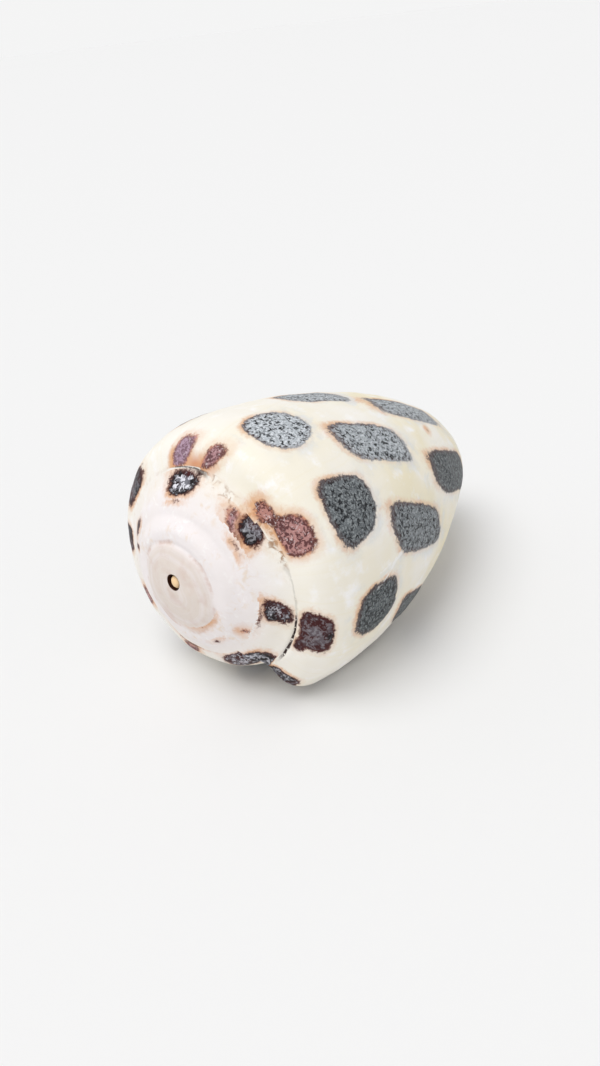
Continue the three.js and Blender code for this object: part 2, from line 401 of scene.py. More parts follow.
@dataclass(frozen=True)
class BlotchRows:
    """Rows of blotches: those in sight one by one, then repeats round the far side."""

    spacing: float = 41.0
    far_end: float = 345.0
    wander: float = 3.0
    wander_pace: float = 1.7
    climb: float = 0.35
    size_change: float = 0.12
    size_pace: float = 2.3
    taper_change: float = 0.08

    def sides(self) -> list[Blotch]:
        """Blotches in sight on the side of the last whorl, in three rows."""
        grey = Mark.GREY
        # The last number of each is its painted sheen, higher for the marks that face the light and
        # reflect the sky
        shoulder = [
            Blotch(grey, 42.0, 7.9, 11.2, 2.6, -0.3, 0.0, 2.5, 0.0),
            Blotch(grey, 83.5, 7.0, 12.6, 2.5, 0.1, -0.22, 3.2, 0.12),
            Blotch(grey, 124.5, 6.8, 12.2, 2.5, 0.0, -0.1, 2.6, 0.85),
            Blotch(grey, 176.0, 6.9, 11.5, 2.2, 0.0, 0.0, 2.8, 0.6),
        ]
        middle = [
            Blotch(grey, 15.5, 15.0, 8.5, 3.3, -3.0, -0.1, 3.5, 0.05),
            Blotch(grey, 55.5, 14.5, 10.2, 4.0, -2.85, -0.1, 4.5, 0.22),
            Blotch(grey, 96.5, 13.7, 10.8, 3.8, -2.75, 0.0, 4.2, 0.65),
            Blotch(grey, 133.5, 14.5, 10.0, 3.0, -2.6, 0.0, 3.5, 0.7),
        ]
        front = [
            Blotch(grey, 53.5, 24.7, 12.8, 5.3, -2.5, 0.1, 4.4, 0.0),
            Blotch(grey, 99.0, 23.8, 11.4, 5.2, -2.4, 0.1, 4.0, 0.65),
        ]
        return shoulder + middle + front

    def suture(self) -> list[Blotch]:
        """Marks just below the last suture."""
        ruddy, black = Mark.RUDDY, Mark.BLACK
        return [
            Blotch(black, 0.0, 1.7, 7.0, 1.7, 2.0, 0.0, 2.6, 0.4),
            Blotch(black, 38.0, 2.2, 10.5, 1.45, -1.0, -0.05, 2.7, 0.15),
            Blotch(black, 28.0, 1.25, 5.0, 0.55, 0.0, 0.0, 2.4, 0.1),
            Blotch(ruddy, 83.0, 1.75, 10.5, 1.6, -0.8, -0.1, 2.5, 0.15),
            Blotch(ruddy, 97.5, 0.6, 8.5, 0.95, 0.0, 0.0, 2.4, 0.0),
            Blotch(ruddy, 136.0, 1.55, 5.6, 1.5, -2.4, 0.0, 2.6, 0.4),
            Blotch(ruddy, 155.5, 1.6, 7.2, 1.55, -2.4, 0.0, 2.8, 0.95),
            Blotch(Mark.AMBER, 145.0, 0.6, 6.0, 0.45, 0.0, 0.0, 2.0),
            Blotch(black, 201.0, 2.0, 14.0, 1.1, 0.0, 0.0, 2.6, 0.1),
            Blotch(black, 233.0, 1.7, 9.0, 1.0, 0.0, 0.0, 2.6, 0.1),
            Blotch(black, 312.0, 0.6, 13.0, 0.25, 0.0, 0.0, 2.2, 0.0),
            Blotch(black, 355.0, 1.9, 17.0, 1.3, 0.0, 0.0, 2.8, 0.6),
        ]

    def spire(self) -> list[Blotch]:
        """Marks of the spire."""
        ruddy, black = Mark.RUDDY, Mark.BLACK
        return [
            Blotch(black, 403.5, 1.15, 8.2, 0.85, -3.0, 0.0, 3.2, 0.5),
            Blotch(black, 395.0, 0.22, 8.5, 0.2, 0.0, 0.0, 2.2, 0.5),
            Blotch(black, 454.0, 1.08, 10.0, 0.86, 2.0, 0.0, 2.6, 0.28),
            Blotch(ruddy, 460.0, 0.58, 13.0, 0.82, 5.0, 0.0, 2.4, 0.5),
            Blotch(black, 513.0, 1.05, 14.0, 0.85, 0.0, 0.1, 3.0, 0.95),
            Blotch(black, 575.0, 0.85, 8.0, 0.45, 10.0, 0.0, 2.2, 0.1),
            Blotch(black, 590.0, 0.7, 3.0, 0.4, 0.0, 0.0, 2.2, 0.1),
            Blotch(black, 711.5, 0.44, 5.0, 0.16, 0.0, 0.0, 2.2, 0.0),
            Blotch(black, 810.0, 1.25, 6.0, 0.16, 0.0, 0.0, 2.2, 0.3),
            Blotch(black, 873.0, 1.3, 5.5, 0.15, 0.0, 0.0, 2.2, 0.2),
            Blotch(ruddy, 741.0, 1.15, 4.5, 0.4, 0.0, 0.0, 2.2, 0.0),
            Blotch(ruddy, 1073.0, 0.15, 9.0, 0.14, 0.0, 0.0, 2.2, 0.0),
        ]

    def flaws(self) -> list[Blotch]:
        """A brown fleck near the front, and a pale scar of two strokes."""
        return [
            Blotch(Mark.RUDDY, 82.0, 23.4, 1.6, 0.3, 0.0, 0.0, 2.0, 0.0),
            Blotch(Mark.SCAR, 56.0, 9.0, 0.35, 1.3, -0.5, 0.0, 2.0),
            Blotch(Mark.SCAR, 52.5, 8.6, 0.35, 1.3, 1.5, 0.0, 2.0),
        ]

    def far_side(self) -> list[Blotch]:
        """Blotches of the far side, which go on from the rows in sight."""
        firsts = (
            Blotch(Mark.GREY, 207.0, 6.7, 11.4, 2.3, squareness=2.8),
            Blotch(Mark.GREY, 178.0, 13.0, 10.0, 3.1, -2.6, squareness=3.6),
            Blotch(Mark.GREY, 142.0, 23.2, 11.4, 4.7, -2.4, squareness=3.6),
        )
        found = []
        for first in firsts:
            for sweep in np.arange(first.sweep, self.far_end, self.spacing):
                turn = math.sin(sweep * self.wander_pace)
                size = 1.0 + self.size_change * math.sin(sweep * self.size_pace)
                repeat = replace(
                    first,
                    sweep=sweep + self.wander * turn,
                    arc=first.arc + self.climb * math.cos(sweep),
                    half_width=first.half_width * size,
                    half_height=first.half_height * (2.0 - size),
                    taper=self.taper_change * turn,
                )
                found.append(repeat)
        for sweep in (268.0, 312.0):
            found.append(Blotch(Mark.RUDDY, sweep, 1.2, 7.5, 0.9, squareness=2.4))
        return found

    def all(self) -> list[Blotch]:
        """Every blotch on the shell."""
        return self.sides() + self.suture() + self.spire() + self.flaws() + self.far_side()


@dataclass(frozen=True)
class Seam:
    """The worn last suture: how its line strays, and what lies in it. Sweeps are in degrees."""

    strays: tuple[Span, ...] = (
        (0.0, 0.5),
        (41.0, 0.42),
        (76.0, -0.1),
        (96.0, -0.3),
        (120.0, -0.5),
        (138.0, -0.08),
        (159.0, 0.3),
        (185.0, 0.5),
        (230.0, 0.3),
        (360.0, 0.5),
    )
    crack: Span = (14.0, 42.0)
    hairline: Span = (47.0, 70.0)
    splinters: Span = (138.0, 161.0)
    crust: Span = (72.0, 100.0)
    grains: Span = (100.0, 134.0)
    outer_fade: float = 5.0
    inner_fade: float = 3.0
    hairline_share: float = 0.2
    splinter_share: float = 0.8
    least_brown: float = 0.1
    crust_share: float = 0.8
    grain_share: float = 0.6

    def stray(self, sweep: Array) -> Array:
        """Millimetres by which the worn line lies below the suture."""
        sweeps, shifts = zip(*self.strays)
        return np.interp(sweep, sweeps, shifts)

    def stretch(self, sweep: Array, span: Span) -> Array:
        """Ease in and out of a stretch of the line."""
        low, high = span
        start = smooth_step(sweep, low - self.outer_fade, low + self.inner_fade)
        return start * (1.0 - smooth_step(sweep, high - self.inner_fade, high + self.outer_fade))

    def dark(self, sweep: Array) -> Array:
        """Share of dark open crack along the line."""
        splinters = self.splinter_share * self.stretch(sweep, self.splinters)
        hairline = self.hairline_share * self.stretch(sweep, self.hairline)
        return self.stretch(sweep, self.crack) + (splinters + hairline)

    def brown(self, sweep: Array) -> Array:
        """Share of brown grains along the line."""
        crust = self.crust_share * self.stretch(sweep, self.crust)
        return self.least_brown + crust + self.grain_share * self.stretch(sweep, self.grains)


class Nodes:
    """Short calls that add linked shader nodes to one tree."""

    def __init__(self, tree: bpy.types.NodeTree) -> None:
        """Keep the tree that nodes are added to.

        Args:
            tree: The node tree of a material or a world.
        """
        self.tree = tree

    def feed(self, socket: Socket, value: object) -> None:
        """Link a socket or set its number.

        Args:
            socket: The input that is fed.
            value: Another node's output, or a plain value.
        """
        if isinstance(value, Socket):
            self.tree.links.new(value, socket)
        elif isinstance(value, tuple) and len(value) == 3 and socket.type == "RGBA":
            socket.default_value = (*value, 1.0)
        else:
            socket.default_value = value

    def attribute(self, name: str) -> Socket:
        """Read a float attribute of the mesh."""
        node = self.tree.nodes.new("ShaderNodeAttribute")
        node.attribute_name = name
        return node.outputs["Fac"]

    def object_place(self) -> Socket:
        """Read the place of a point in the object's own frame."""
        return self.tree.nodes.new("ShaderNodeTexCoord").outputs["Object"]

    def noise(
        self, place: Socket, scale: float, detail: float = 2.0, rough: float = 0.5, swirl: float = 0.0
    ) -> Socket:
        """Add a noise texture.

        Args:
            place: Where the noise is read.
            scale: Lumps per metre.
            detail: Octaves of finer noise.
            rough: Strength of the finer noise.
            swirl: How far the noise is bent into curls.

        Returns:
            The noise from 0 to 1.
        """
        node = self.tree.nodes.new("ShaderNodeTexNoise")
        self.feed(node.inputs["Vector"], place)
        node.inputs["Scale"].default_value = scale
        node.inputs["Detail"].default_value = detail
        node.inputs["Roughness"].default_value = rough
        node.inputs["Distortion"].default_value = swirl
        return node.outputs["Fac"]

    def line_noise(self, along: Socket, scale: float, detail: float = 3.0) -> Socket:
        """Add noise that changes along one number alone."""
        node = self.tree.nodes.new("ShaderNodeTexNoise")
        node.noise_dimensions = "1D"
        self.feed(node.inputs["W"], along)
        node.inputs["Scale"].default_value = scale
        node.inputs["Detail"].default_value = detail
        return node.outputs["Fac"]

    def math(self, kind: str, first: object, second: object = 0.0) -> Socket:
        """Add a math node.

        Args:
            kind: The node's operation.
            first: First number or socket.
            second: Second number or socket.

        Returns:
            The result.
        """
        node = self.tree.nodes.new("ShaderNodeMath")
        node.operation = kind
        self.feed(node.inputs[0], first)
        self.feed(node.inputs[1], second)
        return node.outputs[0]

    def product(self, *factors: object) -> Socket:
        """Multiply any number of sockets and numbers."""
        result = factors[0]
        for factor in factors[1:]:
            result = self.math("MULTIPLY", result, factor)
        return result

    def part(self, value: object, low: float, high: float) -> Socket:
        """Scale a number of 0 to 1 to run from low to high."""
        return self.math("ADD", self.math("MULTIPLY", value, high - low), low)

    def swing(self, value: object, reach: float) -> Socket:
        """Turn noise of 0 to 1 into a swing to both sides of 0."""
        return self.product(self.math("SUBTRACT", value, NOISE_MIDDLE), reach)

    def ease(self, value: object, low: object, high: object) -> Socket:
        """Ease a number from 0 at low to 1 at high.

        Args:
            value: The number.
            low: Where the result is 0.
            high: Where the result is 1.

        Returns:
            The eased number.
        """
        node = self.tree.nodes.new("ShaderNodeMapRange")
        node.interpolation_type = "SMOOTHSTEP"
        self.feed(node.inputs["Value"], value)
        self.feed(node.inputs["From Min"], low)
        self.feed(node.inputs["From Max"], high)
        return node.outputs["Result"]

    def mix(self, share: object, under: object, over: object) -> Socket:
        """Lay one colour over another.

        Args:
            share: How much of the upper colour shows.
            under: The lower colour.
            over: The upper colour.

        Returns:
            The mixed colour.
        """
        node = self.tree.nodes.new("ShaderNodeMix")
        node.data_type = "RGBA"
        self.feed(node.inputs["Factor"], share)
        self.feed(node.inputs["A"], under)
        self.feed(node.inputs["B"], over)
        return node.outputs["Result"]


class ShellNodes(Nodes):
    """A material's nodes with the noises that the shell's colours share, from clouds to fine specks."""

    def __init__(self, tree: bpy.types.NodeTree) -> None:
        """Add the noises to the tree.

        Args:
            tree: The node tree of the material.
        """
        super().__init__(tree)
        place = self.object_place()
        self.broad = self.noise(place, scale=140.0, detail=3.0, rough=0.55)
        self.cloud = self.noise(place, scale=620.0, detail=4.0, rough=0.6)
        self.patch = self.noise(place, scale=420.0)
        self.fleck = self.noise(place, scale=1500.0, detail=3.0, rough=0.6, swirl=0.6)
        self.curl = self.noise(place, scale=3300.0, swirl=0.9)
        self.speck = self.noise(place, scale=6000.0, rough=0.6)


class Layer(ABC):
    """One layer of the shell's colour. Its spans, of noise or millimetres, run from none to full."""

    @abstractmethod
    def lay(self, nodes: ShellNodes, under: object) -> Socket:
        """Lay the layer on the colour under it.

        Args:
            nodes: The material's nodes.
            under: The colour under the layer.

        Returns:
            The colour with the layer on it.
        """


@dataclass(frozen=True)
class Ground(Layer):
    """Warm clouds, chalk and growth lines on the cream of the last whorl."""

    warm_cream: Colour = srgb(241, 231, 201)
    chalk: Colour = srgb(252, 250, 248)
    warmth: Span = (0.36, 0.7)
    least_warmth: float = 0.4
    chalky: Span = (0.52, 0.75)
    line_scale: float = 30.0
    lines: Span = (0.52, 0.8)
    line_share: float = 0.2

    def lay(self, nodes: ShellNodes, under: object) -> Socket:
        """Warm the cream, most towards the front, and draw the chalk and the lines."""
        front = nodes.part(nodes.attribute("front"), self.least_warmth, 1.0)
        warm = nodes.product(nodes.ease(nodes.broad, *self.warmth), front)
        colour = nodes.mix(warm, under, self.warm_cream)
        colour = nodes.mix(nodes.ease(nodes.cloud, *self.chalky), colour, self.chalk)
        lines = nodes.ease(nodes.line_noise(nodes.attribute("sweep"), self.line_scale), *self.lines)
        return nodes.mix(nodes.product(lines, self.line_share), colour, self.warm_cream)


@dataclass(frozen=True)
class SpireGround(Layer):
    """Whiter ground of the spire, with tan flecks and chalk."""

    white: Colour = srgb(240, 233, 235)
    tan: Colour = srgb(226, 198, 158)
    chalk: Colour = srgb(252, 250, 248)
    flecks: Span = (0.5, 0.7)
    fleck_patches: Span = (0.46, 0.66)
    fleck_share: float = 0.55
    chalky: Span = (0.46, 0.34)
    chalk_clouds: Span = (0.4, 0.6)
    chalk_share: float = 0.8

    def lay(self, nodes: ShellNodes, under: object) -> Socket:
        """Whiten the spire and fleck it."""
        spire = nodes.attribute("spire")
        colour = nodes.mix(spire, under, self.white)
        patches = nodes.ease(nodes.patch, *self.fleck_patches)
        flecks = nodes.product(nodes.ease(nodes.fleck, *self.flecks), patches, spire, self.fleck_share)
        colour = nodes.mix(flecks, colour, self.tan)
        clouds = nodes.ease(nodes.cloud, *self.chalk_clouds)
        chalky = nodes.product(nodes.ease(nodes.fleck, *self.chalky), clouds, spire, self.chalk_share)
        return nodes.mix(chalky, colour, self.chalk)


@dataclass(frozen=True)
class WornApex(Layer):
    """Flat worn apex with faint rings and mottles, and the line round it."""

    beige: Colour = srgb(226, 214, 204)
    white: Colour = srgb(240, 233, 235)
    brown: Colour = srgb(206, 174, 160)
    stray: float = 0.8
    ring_scale: float = 1.6
    rings: Span = (0.42, 0.66)
    ring_share: float = 0.4
    mottles: Span = (0.46, 0.7)
    mottle_share: float = 0.35
    edge: Span = (-0.1, 0.35)
    worn_share: float = 0.9
    line: Span = (0.24, 0.04)
    line_clouds: Span = (0.40, 0.62)
    line_share: float = 0.6

    def lay(self, nodes: ShellNodes, under: object) -> Socket:
        """Colour the flat, whose edge strays a little, and the line round it."""
        gap = nodes.math("ADD", nodes.attribute("apex_gap"), nodes.swing(nodes.patch, self.stray))
        rings = nodes.ease(nodes.line_noise(gap, self.ring_scale), *self.rings)
        beige = nodes.mix(nodes.product(rings, self.ring_share), self.beige, self.white)
        mottles = nodes.product(nodes.ease(nodes.cloud, *self.mottles), self.mottle_share)
        beige = nodes.mix(mottles, beige, self.brown)
        colour = nodes.mix(nodes.product(nodes.ease(gap, *self.edge), self.worn_share), under, beige)
        line = nodes.ease(nodes.math("ABSOLUTE", gap), *self.line)
        line = nodes.product(line, nodes.ease(nodes.cloud, *self.line_clouds), self.line_share)
        return nodes.mix(line, colour, self.brown)


@dataclass(frozen=True)
class SeamLayer(Layer):
    """A layer along the worn last suture, whose line strays a little more, in millimetres."""

    stray: float = 0.5

    def gap(self, nodes: ShellNodes) -> Socket:
        """Millimetres from the line."""
        gap = nodes.math("ADD", nodes.attribute("seam_gap"), nodes.swing(nodes.cloud, self.stray))
        return nodes.math("ABSOLUTE", gap)


@dataclass(frozen=True)
class SeamStain(SeamLayer):
    """Tan stain and brown grains along the last suture."""

    tan: Colour = srgb(226, 198, 158)
    brown: Colour = srgb(160, 120, 86)
    tan_reach: Span = (0.8, 0.1)
    tan_clouds: Span = (0.46, 0.64)
    tan_share: float = 0.6
    grain_reach: Span = (0.4, 0.1)
    grain_flecks: Span = (0.48, 0.62)

    def lay(self, nodes: ShellNodes, under: object) -> Socket:
        """Colour the stain and then the grains."""
        gap = self.gap(nodes)
        share = nodes.attribute("seam_brown")
        clouds = nodes.ease(nodes.cloud, *self.tan_clouds)
        soft = nodes.product(nodes.ease(gap, *self.tan_reach), clouds, share, self.tan_share)
        colour = nodes.mix(soft, under, self.tan)
        flecks = nodes.ease(nodes.fleck, *self.grain_flecks)
        grains = nodes.product(nodes.ease(gap, *self.grain_reach), flecks, share)
        return nodes.mix(grains, colour, self.brown)


@dataclass(frozen=True)
class SeamCrack(SeamLayer):
    """Dark crack along the last suture."""

    dark: Colour = srgb(46, 24, 22)
    reach: Span = (0.2, 0.07)
    curls: Span = (0.34, 0.44)

    def lay(self, nodes: ShellNodes, under: object) -> Socket:
        """Colour the crack, with small breaks."""
        near = nodes.ease(self.gap(nodes), *self.reach)
        whole = nodes.ease(nodes.curl, *self.curls)
        return nodes.mix(nodes.product(near, nodes.attribute("seam_dark"), whole), under, self.dark)


@dataclass(frozen=True)
class Rim:
    """How a kind of blotch meets the ground, in millimetres and shares."""

    reach: float
    warmth: float
    soft: float
    evenness: float
    amber: Colour = srgb(222, 170, 126)
    start: float = -0.02
    fall: float = 1.5
    patches: Span = (0.35, 0.6)
    least_share: float = 0.35


@dataclass(frozen=True)
class Blotches(Layer):
    """One kind of blotch, with a ragged outline inside a warm halo, in millimetres."""

    mark: Mark
    rim: Rim
    ragged_broad: float = 0.6
    ragged_fine: float = 0.45

    @abstractmethod
    def fill(self, nodes: ShellNodes, edge: object) -> Socket:
        """Colour the inside of a blotch.

        Args:
            nodes: The material's nodes.
            edge: Millimetres inside the outline.

        Returns:
            The colour.
        """

    def surround(self, nodes: ShellNodes, under: object, edge: object) -> object:
        """Colour the ground near the blotches, which most kinds leave as it is.

        Args:
            nodes: The material's nodes.
            under: The colour of the ground.
            edge: Millimetres inside the outline.

        Returns:
            The colour.
        """
        return under

    def lay(self, nodes: ShellNodes, under: object) -> Socket:
        """Lay the halo and the inside of the blotches."""
        broad = nodes.swing(nodes.cloud, self.ragged_broad)
        fine = nodes.swing(nodes.curl, self.ragged_fine)
        edge = nodes.math("ADD", nodes.attribute(self.mark.value), nodes.math("ADD", broad, fine))
        colour = self.surround(nodes, under, edge)
        rim = self.rim
        lead = nodes.part(nodes.attribute("lead"), rim.evenness, 1.0)
        broken = nodes.part(nodes.ease(nodes.patch, *rim.patches), rim.least_share, 1.0)
        halo = nodes.math("POWER", nodes.ease(edge, -rim.reach, 0.0), rim.fall)
        colour = nodes.mix(nodes.product(halo, lead, broken, rim.warmth), colour, rim.amber)
        return nodes.mix(nodes.ease(edge, rim.start, rim.soft), colour, self.fill(nodes, edge))


@dataclass(frozen=True)
class GreyBlotches(Blotches):
    """Speckled grey blotches with a violet edge, and a cool smear on their younger side. Marks that
    face the light get painted sky reflection as paler chalk, and painted glints on their specks.
    """

    mark: Mark = Mark.GREY
    rim: Rim = Rim(reach=0.5, warmth=0.75, soft=0.16, evenness=0.2)
    dark: Colour = srgb(26, 28, 32)
    pale: Colour = srgb(90, 96, 99)
    # Pale grey laid by the sheen share: painted reflection of the sky on marks that face the light
    chalk: Colour = srgb(196, 202, 208)
    spark: Colour = srgb(138, 144, 145)
    # Painted highlight that the specks turn into on marks that face the light
    painted_glint: Colour = srgb(240, 244, 250)
    violet: Colour = srgb(84, 62, 62)
    smear: Colour = srgb(216, 220, 222)
    curls: Span = (0.33, 0.66)
    chalky: Span = (0.34, 0.56)
    sparks: Span = (0.50, 0.62)
    spark_curls: Span = (0.36, 0.5)
    spark_share: float = 0.8
    violet_reach: Span = (0.55, 0.05)
    violet_share: Span = (0.25, 0.85)
    smear_reach: Span = (-1.2, 0.0)
    smear_clouds: Span = (0.35, 0.6)
    smear_share: float = 0.6

    def surround(self, nodes: ShellNodes, under: object, edge: object) -> Socket:
        """Smear the ground on the younger side."""
        behind = nodes.math("SUBTRACT", 1.0, nodes.attribute("lead"))
        clouds = nodes.ease(nodes.cloud, *self.smear_clouds)
        smear = nodes.product(nodes.ease(edge, *self.smear_reach), behind, clouds, self.smear_share)
        return nodes.mix(smear, under, self.smear)

    def fill(self, nodes: ShellNodes, edge: object) -> Socket:
        """Speckle the grey, paint sky reflection and glints on the marks that face the light, and
        darken its edge.
        """
        sheen_and_violet = nodes.attribute("sheen_and_violet")
        colour = nodes.mix(nodes.ease(nodes.curl, *self.curls), self.dark, self.pale)
        # Painted sky reflection: paler chalk on the marks that face the light
        chalky = nodes.product(sheen_and_violet, nodes.ease(nodes.curl, *self.chalky))
        colour = nodes.mix(chalky, colour, self.chalk)
        # Pale specks of the grain, which become painted glints on the marks that face the light
        curls = nodes.ease(nodes.curl, *self.spark_curls)
        sparks = nodes.product(nodes.ease(nodes.speck, *self.sparks), curls, self.spark_share)
        colour = nodes.mix(sparks, colour, nodes.mix(sheen_and_violet, self.spark, self.painted_glint))
        lead = nodes.part(nodes.attribute("lead"), *self.violet_share)
        return nodes.mix(nodes.product(nodes.ease(edge, *self.violet_reach), lead), colour, self.violet)


@dataclass(frozen=True)
class RuddyBlotches(Blotches):
    """Pink and violet blotches with dark curls and pale flecks, and an orange stain between two."""

    mark: Mark = Mark.RUDDY
    rim: Rim = Rim(reach=0.7, warmth=0.95, soft=0.3, evenness=0.6)
    orange: Colour = srgb(208, 134, 88)
    pink: Colour = srgb(184, 132, 122)
    violet: Colour = srgb(176, 148, 168)
    dark: Colour = srgb(74, 32, 36)
    fleck: Colour = srgb(222, 206, 206)
    stain_reach: Span = (-0.9, 0.4)
    stain_share: float = 0.9
    orange_reach: Span = (0.05, 0.5)
    curls: Span = (0.55, 0.42)
    curl_reach: Span = (0.1, 0.4)
    outline_place: float = 0.3
    outline: Span = (0.28, 0.06)
    outline_flecks: Span = (0.40, 0.52)
    dark_share: Span = (0.92, 0.6)
    flecks: Span = (0.54, 0.68)
    fleck_groups: Span = (0.42, 0.6)
    fleck_share: float = 0.8

    def surround(self, nodes: ShellNodes, under: object, edge: object) -> Socket:
        """Stain the ground orange where the amber mark lies."""
        near = nodes.ease(nodes.attribute(Mark.AMBER.value), *self.stain_reach)
        return nodes.mix(nodes.product(near, self.stain_share), under, self.orange)

    def fill(self, nodes: ShellNodes, edge: object) -> Socket:
        """Draw the dark curls, the broken outline and the flecks on the body colour."""
        sheen_and_violet = nodes.attribute("sheen_and_violet")
        body = nodes.mix(sheen_and_violet, self.pink, self.violet)
        colour = nodes.mix(nodes.ease(edge, *self.orange_reach), self.orange, body)
        curls = nodes.product(nodes.ease(nodes.curl, *self.curls), nodes.ease(edge, *self.curl_reach))
        from_line = nodes.math("ABSOLUTE", nodes.math("SUBTRACT", edge, self.outline_place))
        broken = nodes.ease(nodes.fleck, *self.outline_flecks)
        outline = nodes.product(nodes.ease(from_line, *self.outline), broken)
        dark = nodes.math("MAXIMUM", curls, outline)
        dark = nodes.product(dark, nodes.part(sheen_and_violet, *self.dark_share))
        colour = nodes.mix(dark, colour, self.dark)
        groups = nodes.ease(nodes.fleck, *self.fleck_groups)
        flecks = nodes.product(nodes.ease(nodes.speck, *self.flecks), groups, self.fleck_share)
        return nodes.mix(flecks, colour, self.fleck)


@dataclass(frozen=True)
class BlackBlotches(Blotches):
    """Black and dark red blotches with painted grey sheen and painted bright highlights as sparks."""

    mark: Mark = Mark.BLACK
    rim: Rim = Rim(reach=0.4, warmth=0.85, soft=0.2, evenness=0.4)
    dark: Colour = srgb(22, 14, 18)
    red: Colour = srgb(62, 18, 20)
    brown: Colour = srgb(104, 40, 30)
    # Painted reflections: the grey sheen, and the white sparks of highlights
    sheen: Colour = srgb(124, 124, 132)
    spark: Colour = srgb(232, 232, 240)
    patches: Span = (0.42, 0.58)
    brown_reach: Span = (0.0, 0.28)
    depth: Span = (0.2, 0.5)
    sheen_flecks: Span = (0.46, 0.58)
    least_sheen: float = 0.35
    sparks: Span = (0.49, 0.61)

    def fill(self, nodes: ShellNodes, edge: object) -> Socket:
        """Lay the painted sheen and the painted highlight sparks on the body colour, away from the
        edge.
        """
        sheen_and_violet = nodes.attribute("sheen_and_violet")
        body = nodes.mix(nodes.ease(nodes.patch, *self.patches), self.red, self.dark)
        colour = nodes.mix(nodes.ease(edge, *self.brown_reach), self.brown, body)
        deep = nodes.ease(edge, *self.depth)
        bright = nodes.part(sheen_and_violet, self.least_sheen, 1.0)
        # Painted sheen, brighter on the marks that are given more sheen
        sheen = nodes.product(nodes.ease(nodes.fleck, *self.sheen_flecks), bright, deep)
        colour = nodes.mix(sheen, colour, self.sheen)
        # Painted highlight sparks
        sparks = nodes.product(nodes.ease(nodes.curl, *self.sparks), sheen_and_violet, deep)
        return nodes.mix(sparks, colour, self.spark)


@dataclass(frozen=True)
class Scar(Layer):
    """Pale scratch with a nicked edge, in millimetres."""

    chalk: Colour = srgb(252, 250, 248)
    nicks: float = 0.3
    edge: Span = (-0.05, 0.05)
    share: float = 0.7

    def lay(self, nodes: ShellNodes, under: object) -> Socket:
        """Colour the scratch."""
        nicks = nodes.swing(nodes.curl, self.nicks)
        inside = nodes.math("ADD", nodes.attribute(Mark.SCAR.value), nicks)
        return nodes.mix(nodes.product(nodes.ease(inside, *self.edge), self.share), under, self.chalk)


@dataclass(frozen=True)
class Hollows(Layer):
    """White inside of the aperture, the apex pit painted dark as the shade inside it, and its bead, in
    millimetres.
    """

    white: Colour = srgb(243, 236, 228)
    # Dark brown over the pit's walls and floor: painted shade inside the hole
    painted_pit_shade: Colour = srgb(58, 28, 16)
    bead: Colour = srgb(250, 214, 168)
    pit_edge: Span = (-0.04, 0.0)

    def lay(self, nodes: ShellNodes, under: object) -> Socket:
        """Colour the aperture, the painted shade in the pit and the bead."""
        colour = nodes.mix(nodes.attribute("inside"), under, self.white)
        # The whole pit is painted dark: painted shade of the hole
        in_pit = nodes.ease(nodes.attribute("pit_gap"), *self.pit_edge)
        colour = nodes.mix(in_pit, colour, self.painted_pit_shade)
        return nodes.mix(nodes.attribute("bead"), colour, self.bead)


@dataclass(frozen=True)
class PorcelainFinish:
    """Worn cream shell with speckled grey, ruddy and near-black blotches, laid from the ground up."""

    cream: Colour = srgb(247, 243, 235)
    layers: tuple[Layer, ...] = (
        Ground(),
        SpireGround(),
        WornApex(),
        SeamStain(),
        GreyBlotches(),
        RuddyBlotches(),
        BlackBlotches(),
        SeamCrack(),
        Scar(),
        Hollows(),
    )
    roughness: Span = (0.4, 0.6)
    specular: float = 0.22
    bump_strength: float = 0.25
    bump_height: float = 0.1 * MM
    bump_curls: float = 0.4

    def material(self) -> bpy.types.Material:
        """Build the finish.

        Returns:
            The material.
        """
        made = bpy.data.materials.new("worn_porcelain")
        made.use_nodes = True
        nodes = ShellNodes(made.node_tree)
        colour = self.cream
        for layer in self.layers:
            colour = layer.lay(nodes, colour)
        shader = made.node_tree.nodes["Principled BSDF"]
        nodes.feed(shader.inputs["Base Color"], colour)
        nodes.feed(shader.inputs["Roughness"], nodes.part(nodes.broad, *self.roughness))
        shader.inputs["Specular IOR Level"].default_value = self.specular

        bump = made.node_tree.nodes.new("ShaderNodeBump")
        bump.inputs["Strength"].default_value = self.bump_strength
        bump.inputs["Distance"].default_value = self.bump_height
        height = nodes.math("ADD", nodes.product(nodes.curl, self.bump_curls), nodes.patch)
        nodes.feed(bump.inputs["Height"], height)
        nodes.feed(shader.inputs["Normal"], bump.outputs["Normal"])
        return made


@dataclass(frozen=True)
class Chart:
    """Where the shell's points lie on its whorls. Sweeps are in degrees, the rest in millimetres."""

    sweep: Array
    arc: Array
    radius: Array
    level: Array
    inside: Array
    seam_sweep: Array
    seam_gap: Array
    suture_gap: Array
    apex_gap: Array

    @property
    def open_air(self) -> Array:
        """Whether each point is outside the aperture."""
        return self.inside < 0.5


@dataclass(frozen=True)
class Roll:
    """A low ring round the apex, so far outside the edge of its flat, in millimetres."""

    height: float
    outside: float
    width: float


